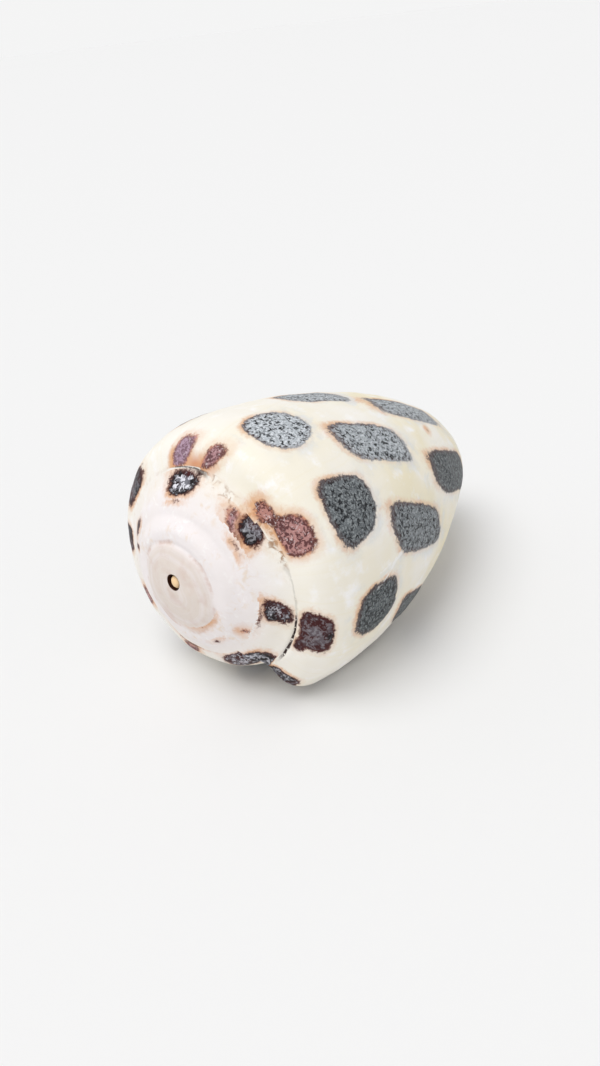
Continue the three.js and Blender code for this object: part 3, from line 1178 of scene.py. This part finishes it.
@dataclass(frozen=True)
class Relief:
    """Low relief of the worn surface, in millimetres."""

    lump_height: float = 0.10
    lump_scale: float = 0.35
    dent_height: float = 0.03
    dent_scale: float = 1.1
    dent_shift: Place = (7.0, 3.0, 5.0)
    rolls: tuple[Roll, ...] = (Roll(0.2, 0.9, 0.5), Roll(-0.14, 0.0, 0.25), Roll(-0.14, 1.9, 0.4))
    roll_sweep: float = math.radians(150.0)
    roll_middle: float = 0.6
    roll_change: float = 0.4
    crack_depth: float = 0.18
    crack_width: float = 0.14
    ridge_height: float = 0.10
    ridge_place: float = 0.4
    ridge_width: float = 0.2

    def height(self, points: Array, chart: Chart, seam: Seam) -> Array:
        """Height of the relief.

        Args:
            points: The shell's points, with the axis along Z.
            chart: Where they lie.
            seam: The last suture.

        Returns:
            How far each point moves outwards.
        """
        shift = Vector(self.dent_shift)
        lumps = np.array([noise.noise(Vector(point) * self.lump_scale) for point in points])
        dents = np.array([noise.noise(Vector(point) * self.dent_scale + shift) for point in points])
        relief = self.lump_height * lumps + self.dent_height * dents
        gap = chart.apex_gap
        rolls = sum(roll.height * bell(gap, -roll.outside, roll.width) for roll in self.rolls)
        turned = np.cos(np.radians(chart.sweep) - self.roll_sweep)
        relief += rolls * (self.roll_middle + self.roll_change * turned)
        crack = self.crack_depth * bell(chart.seam_gap, 0.0, self.crack_width)
        relief -= crack * seam.dark(chart.seam_sweep)
        ridge = self.ridge_height * bell(chart.seam_gap, self.ridge_place, self.ridge_width)
        relief += ridge * seam.stretch(chart.seam_sweep, seam.crack)
        return relief * (1.0 - chart.inside)


@dataclass(frozen=True)
class Wear:
    """How the spire's steps, the notch and the canal are worn smooth, in millimetres and degrees."""

    reach: float = 1.7
    rounds: int = 120
    factor: float = 0.5
    least: float = 0.02
    kept_by_crack: float = 0.5
    radii: Span = (2.2, 3.2)
    notch_reach: float = 0.7
    notch_rise: float = 1.0
    notch_share: float = 0.8
    canal_sweep: float = 15.0
    canal_width: float = 30.0
    canal_levels: Span = (1.0, 5.0)
    canal_share: float = 0.5

    def smooth(self, piece: bpy.types.Object, weights: Array) -> None:
        """Smooth a piece by a weight at each point.

        Args:
            piece: The piece.
            weights: How much each point is worn, from 0 to 1.
        """
        group = piece.vertex_groups.new(name="worn")
        for index in np.flatnonzero(weights > self.least):
            group.add([int(index)], float(weights[index]), "REPLACE")
        pick_only(piece)
        modifier = piece.modifiers.new("wear", "SMOOTH")
        modifier.factor = self.factor
        modifier.iterations = self.rounds
        modifier.vertex_group = group.name
        bpy.ops.object.modifier_apply(modifier=modifier.name)
        piece.vertex_groups.clear()


@dataclass(frozen=True)
class ApexPit:
    """Pit in the apex round the blunt stub of the first whorl, in millimetres."""

    radius: float = 0.68
    floor_radius: float = 0.6
    depth: float = 0.9
    bend: float = 0.75
    overcut: float = 2.0
    sides: int = 32
    stub_radius: float = 0.54
    stub_height: float = 0.82
    stub_shift: Span = (0.055, -0.01)
    stub_bluntness: float = 0.68
    stub_steps: int = 8
    bead_margin: float = 0.01

    def solid(self, top: float, gap: float) -> bpy.types.Object:
        """Build the pit as a closed solid with the stub left out of it.

        Args:
            top: Level of the apex.
            gap: Points closer than this are merged.

        Returns:
            The solid.
        """
        floor = top - self.depth
        dome = np.linspace(TURN / 4.0, 0.0, self.stub_steps + 1)
        out = np.maximum(np.cos(dome), 0.0) ** self.stub_bluntness
        up = np.sin(dome) ** self.stub_bluntness
        rim = [self.floor_radius, self.radius, self.radius, 0.0]
        wall = np.array([0.0, self.bend, self.overcut, self.overcut])
        radii = np.concatenate([self.stub_radius * out, rim])
        levels = np.concatenate([floor + self.stub_height * up, floor + self.depth * wall])

        def turned(column: Array, row: Array) -> Array:
            """Place the pit's points round the axis."""
            angle = column / self.sides * TURN
            radius = np.maximum(radii[row.astype(int)], 0.0)
            stub = row <= self.stub_steps
            across = radius * np.cos(angle) + self.stub_shift[0] * stub
            along = radius * np.sin(angle) + self.stub_shift[1] * stub
            return np.stack([across, along, levels[row.astype(int)]], axis=-1)

        return welded("pit", [rolled_grid("pit", self.sides, len(radii) - 1, turned)], gap)

    def on_stub(self, points: Array) -> Array:
        """Whether each point lies on the stub, seen along the axis."""
        across, along = self.stub_shift
        from_stub = np.hypot(points[:, 0] - across, points[:, 1] - along)
        return from_stub < self.stub_radius + self.bead_margin


@dataclass
class Shell:
    """The whole shell: spire, last whorl, aperture, notch and apex pit, in millimetres."""

    growth: Growth = Growth()
    blotches: BlotchRows = BlotchRows()
    seam: Seam = Seam()
    pit: ApexPit = ApexPit()
    relief: Relief = Relief()
    worn: Wear = Wear()
    finish: PorcelainFinish = PorcelainFinish()
    # Rows and columns of the skin
    spire_turns: int = 7
    columns_per_turn: int = 288
    lip_columns: int = 8
    lip_crowding: float = 1.6
    lip_stretch: int = 2
    ramp_rows: int = 16
    shoulder_rows: int = 16
    side_rows: int = 64
    tip_crowding: float = 1.5
    # Lip and aperture slit
    lip_round: float = 0.5
    lip_wall: float = 1.1
    flare_share: float = 0.45
    tip_wall: float = 0.7
    aperture_roof: float = 2.4
    aperture_turns: float = 1.5
    lip_clearance: float = 0.04 * TURN
    narrowest_slit: float = 1.1
    core_radius: float = 0.2
    core_skin: float = 0.1
    front_overcut: float = 1.0
    canal_floor: float = 10.0
    canal_closed: float = 0.3 * TURN
    slit_start: float = 0.08
    slit_columns: int = 150
    slit_rows: int = 40
    slit_across: int = 4
    # Notch at the front end of the lip
    notch_sweep: float = math.radians(35.0)
    notch_level: float = 17.0
    notch_overcut: float = 1.0
    notch_undercut: float = 0.4
    notch_rows: int = 60
    notch_columns: int = 12
    # Worn spire and apex
    worn_radius: float = 2.8
    stepped_radius: float = 7.5
    step_left: float = 0.5
    apex_centre: Span = (0.55, -0.68)
    apex_radius: float = 3.75
    # Chart of the whorls
    arc_samples: int = 2001
    shoulder_share: float = 0.25
    spire_skin: float = 0.6
    seam_reach: float = 3.0
    inside_depths: Span = (0.45, 0.8)
    # Attributes that the finish reads
    halo_reach: float = 1.5
    plain_sheen_and_violet: float = 0.2
    plain_lead: float = 0.5
    blotch_merge: float = 0.5
    front_arcs: Span = (3.0, 20.0)
    white_radii: Span = (5.5, 9.0)
    white_share: float = 0.8
    # Lie and mesh
    down_sweep: float = math.radians(-36.3)
    apex_lift: float = math.radians(7.5)
    weld_gap: float = 0.004
    smooth_angle: float = math.radians(40.0)

    def lip_steps(self) -> Array:
        """Shares from 0 to 1 of the columns that are crowded towards the lip."""
        return np.linspace(0.0, 1.0, self.lip_columns + 1) ** self.lip_crowding

    def turn_columns(self) -> Array:
        """Sweeps of the columns in one turn, crowded towards the lip.

        Returns:
            The sweeps from 0 to a whole turn.
        """
        even = np.linspace(0.0, TURN, self.columns_per_turn + 1)
        near = self.lip_steps() * even[self.lip_stretch]
        return np.concatenate([near, even[self.lip_stretch + 1 :]])

    def section_rows(self) -> tuple[Array, Array]:
        """Rows of one section.

        Returns:
            Shoulder angles from the suture, then shares of the side down to the tip.
        """
        ramp = np.linspace(0.0, self.growth.ramp_angle, self.ramp_rows + 1)
        rest = np.linspace(self.growth.ramp_angle, TURN / 4.0, self.shoulder_rows + 1)
        side = (np.arange(self.side_rows - 1, -1, -1) / self.side_rows) ** self.tip_crowding
        return np.concatenate([ramp, rest[1:]]), side

    def lip_curl(self, sweep: Array, radius: Array) -> Array:
        """How far the outer surface curls in to round the lip's edge."""
        near = np.clip(1.0 - sweep * radius / self.lip_round, 0.0, 1.0)
        return self.lip_round * (1.0 - np.sqrt(1.0 - near * near))

    def whorl_points(self, sweep: Array, row: Array) -> Array:
        """Points of the last whorl.

        Args:
            sweep: Sweep of each point.
            row: Row number of each point, 0 at the suture.

        Returns:
            The points.
        """
        shape = self.growth
        angles, side = self.section_rows()
        row = row.astype(int)
        angle = angles[np.minimum(row, len(angles) - 1)]
        power = 2.0 / shape.sharpness(sweep)
        out = np.sin(angle) ** power
        up = np.maximum(np.cos(angle), 0.0) ** power
        radius = blend(shape.suture_radius, shape.shoulder_radius, out)
        level = blend(shape.shoulder_level, shape.suture_level, up)
        share = side[np.clip(row - len(angles), 0, len(side) - 1)]
        low = row >= len(angles)
        radius = np.where(low, shape.side_radius(share), radius) * shape.scale(sweep)
        level = np.where(low, shape.shoulder_level * share, level) * shape.stretch(sweep)
        curl = self.lip_curl(sweep, radius) * np.clip(row / self.ramp_rows, 0.0, 1.0)
        return shape.place(sweep, radius - curl, level)

    def spire_points(self, sweep: Array, row: Array) -> Array:
        """Points of the spire, whose steps are worn away towards the apex.

        Args:
            sweep: Sweep of each point.
            row: Row number of each point, 0 at the inner suture.

        Returns:
            The points.
        """
        shape = self.growth
        power = shape.young_sharpness
        inner_radius, inner_level = shape.suture(sweep)
        outer_radius, outer_level = shape.suture(sweep - TURN)
        angle = shape.ramp_angle * row / self.ramp_rows
        reach = np.sin(angle) ** (2.0 / power)
        fall = 1.0 - (1.0 - reach**power) ** (1.0 / power)
        most = 1.0 - (1.0 - shape.ramp_reach**power) ** (1.0 / power)
        radius = blend(inner_radius, outer_radius, reach / shape.ramp_reach)
        level = blend(inner_level, outer_level, fall / most)
        relief = self.step_left * smooth_step(radius, self.worn_radius, self.stepped_radius)
        level = blend(shape.dome(radius), level, relief)
        points = shape.place(sweep, radius, level)
        first = np.isclose(sweep, TURN)
        points[first] = self.whorl_points(sweep[first], row[first])
        return points

    def skin(self) -> bpy.types.Object:
        """Build the outside of the shell as one closed mesh with no aperture.

        Returns:
            The closed mesh.
        """
        sweeps = self.turn_columns()
        angles, side = self.section_rows()
        rows = len(angles) + len(side) - 1
        columns = len(sweeps) - 1
        turns = np.concatenate([sweeps[:-1] + TURN * turn for turn in range(self.spire_turns + 1)])

        def whorl(column: Array, row: Array) -> Array:
            """Place the last whorl's points."""
            points = self.whorl_points(sweeps[column.astype(int)], row)
            seam = (column == columns) & (row == self.ramp_rows)
            points[seam] = self.whorl_points(np.zeros(1), np.zeros(1))
            return points

        def spire(column: Array, row: Array) -> Array:
            """Place the spire's points."""
            points = self.spire_points(turns[column.astype(int) + columns], row)
            seam = (column == 0) & (row == self.ramp_rows)
            points[seam] = self.whorl_points(np.zeros(1), np.zeros(1))
            return points

        def lip(column: Array, row: Array) -> Array:
            """Place the lip face's points, from the lip to the whorl inside it."""
            outer = whorl(np.zeros_like(row), row)
            inner = whorl(np.full_like(row, columns), np.maximum(row, self.ramp_rows))
            return blend(outer, inner, (column / self.slit_across)[:, None])

        patches = [
            rolled_grid("last_whorl", columns, rows, whorl),
            rolled_grid("spire", len(turns) - columns - 1, self.ramp_rows, spire),
            rolled_grid("lip", self.slit_across, rows, lip),
        ]
        return welded("worn_shell", patches, self.weld_gap)

    def wall_at(self, level: Array) -> Array:
        """Thickness of the last whorl's wall, thinner towards the front tip."""
        return blend(self.tip_wall, self.lip_wall, smooth_step(level, 0.0, self.growth.shoulder_level))

    def slit_points(self, sweep: Array, row: Array, across: Array) -> Array:
        """Points of the aperture slit.

        Args:
            sweep: Sweep of each point.
            row: Row number of each point, 0 at the roof.
            across: 0 on the inner wall, 1 on the outer wall.

        Returns:
            The points.
        """
        shape = self.growth
        top = shape.suture(sweep)[1] - self.aperture_roof
        closing = smooth_step(sweep, self.notch_sweep, self.canal_closed)
        bottom = blend(-self.front_overcut, self.canal_floor, closing)
        level = blend(bottom, top, (1.0 - row / self.slit_rows) ** self.tip_crowding)
        whole = shape.radius_at(sweep, level)
        wall = self.wall_at(level)
        flare = self.lip_curl(np.maximum(sweep, 0.0), whole) / self.lip_round
        outer = whole - wall + flare * np.minimum(self.lip_round, wall * self.flare_share)
        core = shape.radius_at(sweep + TURN, level) + self.core_skin
        inner = np.maximum(np.minimum(core, outer - self.narrowest_slit), self.core_radius)
        return shape.place(sweep, blend(inner, outer, across), level)

    def slit(self) -> bpy.types.Object:
        """Build the aperture slit as a closed solid.

        Returns:
            The solid.
        """
        start = self.lip_steps() * self.slit_start
        clear = np.array([-self.lip_clearance])
        rest = np.linspace(self.slit_start, self.aperture_turns * TURN, self.slit_columns)[1:]
        sweeps = np.concatenate([clear, start, rest])

        def place(column: Array, row: Array, across: Array) -> Array:
            """Place the slit's points."""
            return self.slit_points(sweeps[column.astype(int)], row, across / self.slit_across)

        size = (len(sweeps) - 1, self.slit_rows, self.slit_across)
        return bent_box("slit", size, place, self.weld_gap)

    def notch_back(self, level: Array) -> Array:
        """Sweep that the notch reaches back to at a level."""
        share = np.clip(level / self.notch_level, 0.0, 1.0)
        return self.notch_sweep * np.sqrt(1.0 - share * share)

    def notch_points(self, row: Array, column: Array, across: Array) -> Array:
        """Points of the notch where the front end of the lip is worn back.

        Args:
            row: Row number of each point, 0 at the front.
            column: Column number of each point, 0 clear of the lip.
            across: 0 inside the slit, 1 outside the lip.

        Returns:
            The points.
        """
        shape = self.growth
        depth = 1.0 - (row / self.notch_rows) ** 2
        level = blend(self.notch_level, -self.front_overcut, depth)
        sweep = blend(-self.lip_clearance, self.notch_back(level), column / self.notch_columns)
        whole = shape.radius_at(sweep, level)
        inner = whole - self.wall_at(level) - self.notch_undercut
        return shape.place(sweep, blend(inner, whole + self.notch_overcut, across), level)

    def notch(self) -> bpy.types.Object:
        """Build the notch as a closed solid.

        Returns:
            The solid.
        """

        def place(row: Array, column: Array, across: Array) -> Array:
            """Place the notch's points."""
            return self.notch_points(row, column, across / self.slit_across)

        size = (self.notch_rows, self.notch_columns, self.slit_across)
        return bent_box("notch", size, place, self.weld_gap)

    def lip_arcs(self) -> tuple[Array, Array]:
        """Measure the section at the lip.

        Returns:
            Shares from the suture at 0 to the tip at 1, and the arc from the suture to each.
        """
        shape = self.growth
        share = np.linspace(0.0, 1.0, self.arc_samples)
        angle = np.clip(share / self.shoulder_share, 0.0, 1.0) * TURN / 4.0
        power = 2.0 / shape.lip_sharpness
        side = np.clip((1.0 - share) / (1.0 - self.shoulder_share), 0.0, 1.0)
        high = share < self.shoulder_share
        out = blend(shape.suture_radius, shape.shoulder_radius, np.sin(angle) ** power)
        up = np.maximum(np.cos(angle), 0.0) ** power
        rise = blend(shape.shoulder_level, shape.suture_level, up)
        steps = np.hypot(
            np.diff(np.where(high, out, shape.side_radius(side))),
            np.diff(np.where(high, rise, shape.shoulder_level * side)),
        )
        return share, np.concatenate([[0.0], np.cumsum(steps)])

    def arc_at(self, sweep: Array, radius: Array, level: Array) -> Array:
        """Arc down the section from the suture to points of the last whorl.

        Args:
            sweep: Sweep of each point.
            radius: Radius of each point.
            level: Level of each point.

        Returns:
            The arcs, measured on the section at the lip.
        """
        shape = self.growth
        own = level / shape.stretch(sweep)
        height = shape.suture_level - shape.shoulder_level
        climbed = np.clip((own - shape.shoulder_level) / height, 0.0, 1.0)
        reach = radius / shape.scale(sweep) - shape.suture_radius
        reach = np.clip(reach / (shape.shoulder_radius - shape.suture_radius), 0.0, 1.0)
        half = shape.sharpness(sweep) / 2.0
        turned = np.arctan2(reach**half, climbed**half) / (TURN / 4.0)
        lower = np.clip(own / shape.shoulder_level, 0.0, 1.0)
        on_side = 1.0 - lower * (1.0 - self.shoulder_share)
        at = np.where(own > shape.shoulder_level, turned * self.shoulder_share, on_side)
        return np.interp(at, *self.lip_arcs())

    def chart(self, points: Array) -> Chart:
        """Find where points of the shell lie on its whorls.

        Args:
            points: The points, with the axis along Z.

        Returns:
            The chart.
        """
        shape = self.growth
        level = points[:, 2]
        radius = np.hypot(points[:, 0], points[:, 1])
        angle = np.arctan2(points[:, 1], points[:, 0])
        sweep = np.mod(angle - shape.lean(level), TURN)

        edge = shape.suture(sweep)[0]
        on_spire = (radius < edge + HAIR) & (level > shape.dome(radius) - self.spire_skin)
        ratio = np.maximum(edge / np.maximum(radius, HAIR), 1.0 + HAIR * HAIR)
        turns = np.where(on_spire, np.ceil(np.log(ratio) / math.log(shape.growth_per_turn)), 0.0)
        whole = sweep + TURN * turns
        to_inner = radius - shape.suture(whole)[0]
        to_outer = shape.suture(np.maximum(whole - TURN, 0.0))[0] - radius
        side_arc = self.arc_at(sweep, radius, level)
        depth = shape.radius_at(sweep, level) - radius

        seam_sweep = np.degrees(np.where(on_spire, whole - TURN, whole))
        first = turns < 2.0
        reach = self.seam_reach
        beside = np.where(on_spire, np.where(first, -to_outer, -reach), side_arc)
        seam_gap = np.clip(beside - self.seam.stray(seam_sweep), -reach, reach)
        by_seam = first & (seam_sweep > self.seam.crack[0]) & (seam_sweep < self.seam.splinters[1])
        above = np.where(by_seam, seam_gap < 0.0, on_spire)
        width = edge * (1.0 - 1.0 / shape.growth_per_turn)
        spire_arc = np.where(on_spire, to_inner, width + side_arc)

        high = level > shape.shoulder_level
        from_apex = np.hypot(points[:, 0] - self.apex_centre[0], points[:, 1] - self.apex_centre[1])
        return Chart(
            sweep=seam_sweep + 360.0 * above,
            arc=np.where(above, spire_arc, beside),
            radius=radius,
            level=level,
            inside=np.where(on_spire, 0.0, smooth_step(depth, *self.inside_depths)),
            seam_sweep=seam_sweep,
            seam_gap=seam_gap,
            suture_gap=np.where(on_spire, np.minimum(to_inner, to_outer), side_arc),
            apex_gap=np.where(high, self.apex_radius - from_apex, FAR_OUTSIDE),
        )

    def dress(self, piece: bpy.types.Object, chart: Chart, points: Array) -> None:
        """Write the attributes that the finish reads.

        Args:
            piece: The shell.
            chart: Where its points lie.
            points: The points, with the axis along Z.
        """
        fields = {mark: np.full(len(points), FAR_OUTSIDE) for mark in Mark}
        nearest = np.full(len(points), -self.halo_reach)
        # Share of painted sheen on grey and black marks, and of violet on ruddy ones
        sheen_and_violet = np.full(len(points), self.plain_sheen_and_violet)
        lead = np.full(len(points), self.plain_lead)
        for blotch in self.blotches.all():
            found = blotch.inside(chart.sweep, chart.arc, chart.radius)
            closer = found > nearest
            nearest = np.where(closer, found, nearest)
            sheen_and_violet = np.where(closer, blotch.sheen_and_violet, sheen_and_violet)
            lead = np.where(closer, blotch.lead(chart.sweep, chart.arc), lead)
            fields[blotch.mark] = smooth_max(fields[blotch.mark], found, self.blotch_merge)

        high = chart.level > self.growth.shoulder_level
        white = self.white_share * (1.0 - smooth_step(chart.radius, *self.white_radii))
        values = {
            "sweep": np.radians(chart.sweep),
            "sheen_and_violet": sheen_and_violet,
            "lead": lead,
            "seam_gap": chart.seam_gap,
            "seam_dark": self.seam.dark(chart.seam_sweep) * chart.open_air,
            "seam_brown": self.seam.brown(chart.seam_sweep) * chart.open_air,
            "pit_gap": np.where(high, self.pit.radius - chart.radius, FAR_OUTSIDE),
            "bead": np.where(self.pit.on_stub(points) & high, 1.0, 0.0),
            "apex_gap": chart.apex_gap,
            "front": smooth_step(chart.arc, *self.front_arcs),
            "spire": np.where(high, white, 0.0),
            "inside": chart.inside,
        }
        for mark, found in fields.items():
            values[mark.value] = np.where(chart.open_air, found, FAR_OUTSIDE)
        for name, value in values.items():
            layer = piece.data.attributes.new(name, "FLOAT", "POINT")
            layer.data.foreach_set("value", value.astype(np.float32))

    def wear(self, piece: bpy.types.Object, chart: Chart) -> None:
        """Wear down the steps of the spire and the cut edge of the notch, and carve the low relief.

        Args:
            piece: The shell.
            chart: Where its points lie.
        """
        worn = self.worn
        open_crack = self.seam.stretch(chart.seam_sweep, self.seam.crack)
        steps = bell(chart.suture_gap, 0.0, worn.reach) * (1.0 - worn.kept_by_crack * open_crack)
        steps *= (chart.level > self.growth.shoulder_level) * chart.open_air
        steps *= smooth_step(chart.radius, *worn.radii)
        past = np.radians(chart.sweep) - self.notch_back(chart.level)
        beside_notch = chart.level < self.notch_level + worn.notch_rise
        edge = bell(past * chart.radius, 0.0, worn.notch_reach) * beside_notch
        turned = np.mod(chart.sweep - worn.canal_sweep + 180.0, 360.0) - 180.0
        low = 1.0 - smooth_step(chart.level, *worn.canal_levels)
        canal = bell(turned, 0.0, worn.canal_width) * low
        weights = np.maximum.reduce([steps, worn.notch_share * edge, worn.canal_share * canal])
        worn.smooth(piece, weights)

        points = points_of(piece)
        normals = np.empty(points.size)
        piece.data.vertices.foreach_get("normal", normals)
        relief = self.relief.height(points, chart, self.seam)
        set_points(piece, points + normals.reshape(-1, 3) * relief[:, None])

    def lay_down(self, piece: bpy.types.Object) -> None:
        """Turn the shell onto its aperture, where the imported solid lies.

        Args:
            piece: The shell, with its axis along Z, in millimetres.
        """
        spin = Matrix.Rotation(TURN / 2.0 - self.down_sweep, 4, "Z")
        tip = Matrix.Rotation(self.apex_lift - TURN / 4.0, 4, "Y")
        piece.data.transform(Matrix.Scale(MM, 4) @ tip @ spin)
        points = points_of(piece)
        low, high = points.min(0), points.max(0)
        cad_low, cad_high = (np.array(corner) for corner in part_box("shell"))
        move = (cad_low + cad_high - low - high) / 2.0
        move[2] = cad_low[2] - low[2]
        set_points(piece, points + move)

    def build(self) -> bpy.types.Object:
        """Build, dress and place the shell.

        Returns:
            The finished piece.
        """
        piece = self.skin()
        cut(piece, self.slit())
        cut(piece, self.notch())
        cut(piece, self.pit.solid(self.growth.length, self.weld_gap))
        points = points_of(piece)
        chart = self.chart(points)
        self.dress(piece, chart, points)
        self.wear(piece, chart)
        self.lay_down(piece)
        pick_only(piece)
        bpy.ops.object.shade_smooth_by_angle(angle=self.smooth_angle)
        piece.data.materials.clear()
        piece.data.materials.append(self.finish.material())
        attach(piece, "root")
        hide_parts("shell")
        return piece


@dataclass(frozen=True)
class Sun:
    """Broad soft daylight from one side."""

    towards: Place = (-0.32, 0.08, 0.94)
    strength: float = 1.6
    spread: float = math.radians(45.0)

    def add(self) -> None:
        """Add the light, aimed at the shell."""
        bpy.ops.object.light_add(type="SUN", location=Vector(self.towards))
        lamp = bpy.context.object
        lamp.name = "soft_daylight"
        lamp.data.energy = self.strength
        lamp.data.angle = self.spread
        lamp.rotation_euler = (-Vector(self.towards)).to_track_quat("-Z", "Y").to_euler()


@dataclass(frozen=True)
class Studio:
    """Pale floor, soft light and the camera of the photograph."""

    floor_size: float = 60.0
    floor_colour: Colour = (0.84, 0.84, 0.84)
    floor_roughness: float = 0.9
    horizon_light: float = 0.66
    zenith_light: float = 0.6
    seen_light: float = 0.908
    sky_rise: float = 0.8
    camera_place: Place = (-0.05206, -0.04315, 0.04597)
    camera_forward: Place = (0.6429, 0.5793, -0.5012)
    camera_up: Place = (0.4454, 0.2496, 0.8598)
    lens: float = 29.596
    sensor_width: float = 36.0
    nearest_view: float = 1.0 * MM
    sun: Sun = Sun()

    def lay_floor(self) -> None:
        """Add the floor."""
        bpy.ops.object.select_all(action="DESELECT")
        bpy.ops.mesh.primitive_plane_add(size=self.floor_size)
        floor = bpy.context.object
        floor.name = "floor"
        made = bpy.data.materials.new("pale_floor")
        made.use_nodes = True
        shader = made.node_tree.nodes["Principled BSDF"]
        shader.inputs["Base Color"].default_value = (*self.floor_colour, 1.0)
        shader.inputs["Roughness"].default_value = self.floor_roughness
        floor.data.materials.append(made)

    def light(self) -> None:
        """Add the daylight and the sky, which to the camera looks as pale as the floor."""
        self.sun.add()
        world = bpy.data.worlds.new("pale_sky")
        world.use_nodes = True
        nodes = Nodes(world.node_tree)
        split = world.node_tree.nodes.new("ShaderNodeSeparateXYZ")
        coordinates = world.node_tree.nodes.new("ShaderNodeTexCoord")
        nodes.feed(split.inputs[0], coordinates.outputs["Generated"])
        rise = nodes.ease(split.outputs["Z"], 0.0, self.sky_rise)
        low, high, seen = self.horizon_light, self.zenith_light, self.seen_light
        glow = nodes.mix(rise, (low, low, low), (high, high, high))
        to_camera = world.node_tree.nodes.new("ShaderNodeLightPath").outputs["Is Camera Ray"]
        sky = world.node_tree.nodes["Background"]
        nodes.feed(sky.inputs["Color"], nodes.mix(to_camera, glow, (seen, seen, seen)))
        bpy.context.scene.world = world
        bpy.context.scene.view_settings.view_transform = "Standard"

    def place_camera(self) -> None:
        """Put the camera where the photograph was taken from."""
        back = -Vector(self.camera_forward).normalized()
        right = Vector(self.camera_up).cross(back).normalized()
        up = back.cross(right)
        turn = Matrix((right, up, back)).transposed().to_4x4()
        bpy.ops.object.camera_add()
        camera = bpy.context.object
        camera.matrix_world = Matrix.Translation(self.camera_place) @ turn
        camera.data.lens = self.lens
        camera.data.sensor_width = self.sensor_width
        camera.data.clip_start = self.nearest_view
        bpy.context.scene.camera = camera

    def build(self) -> None:
        """Set up the floor, the lights and the camera."""
        self.lay_floor()
        self.light()
        self.place_camera()


def main() -> None:
    """Build the shell and the studio, and note the sizes."""
    logging.basicConfig(level=logging.INFO, format="%(name)s: %(message)s")
    piece = Shell().build()
    LOG.info("%s: %d points, %d faces", piece.name, len(piece.data.vertices), len(piece.data.polygons))
    Studio().build()
    LOG.info("studio: floor, lights and camera")


if __name__ == "__main__":
    main()
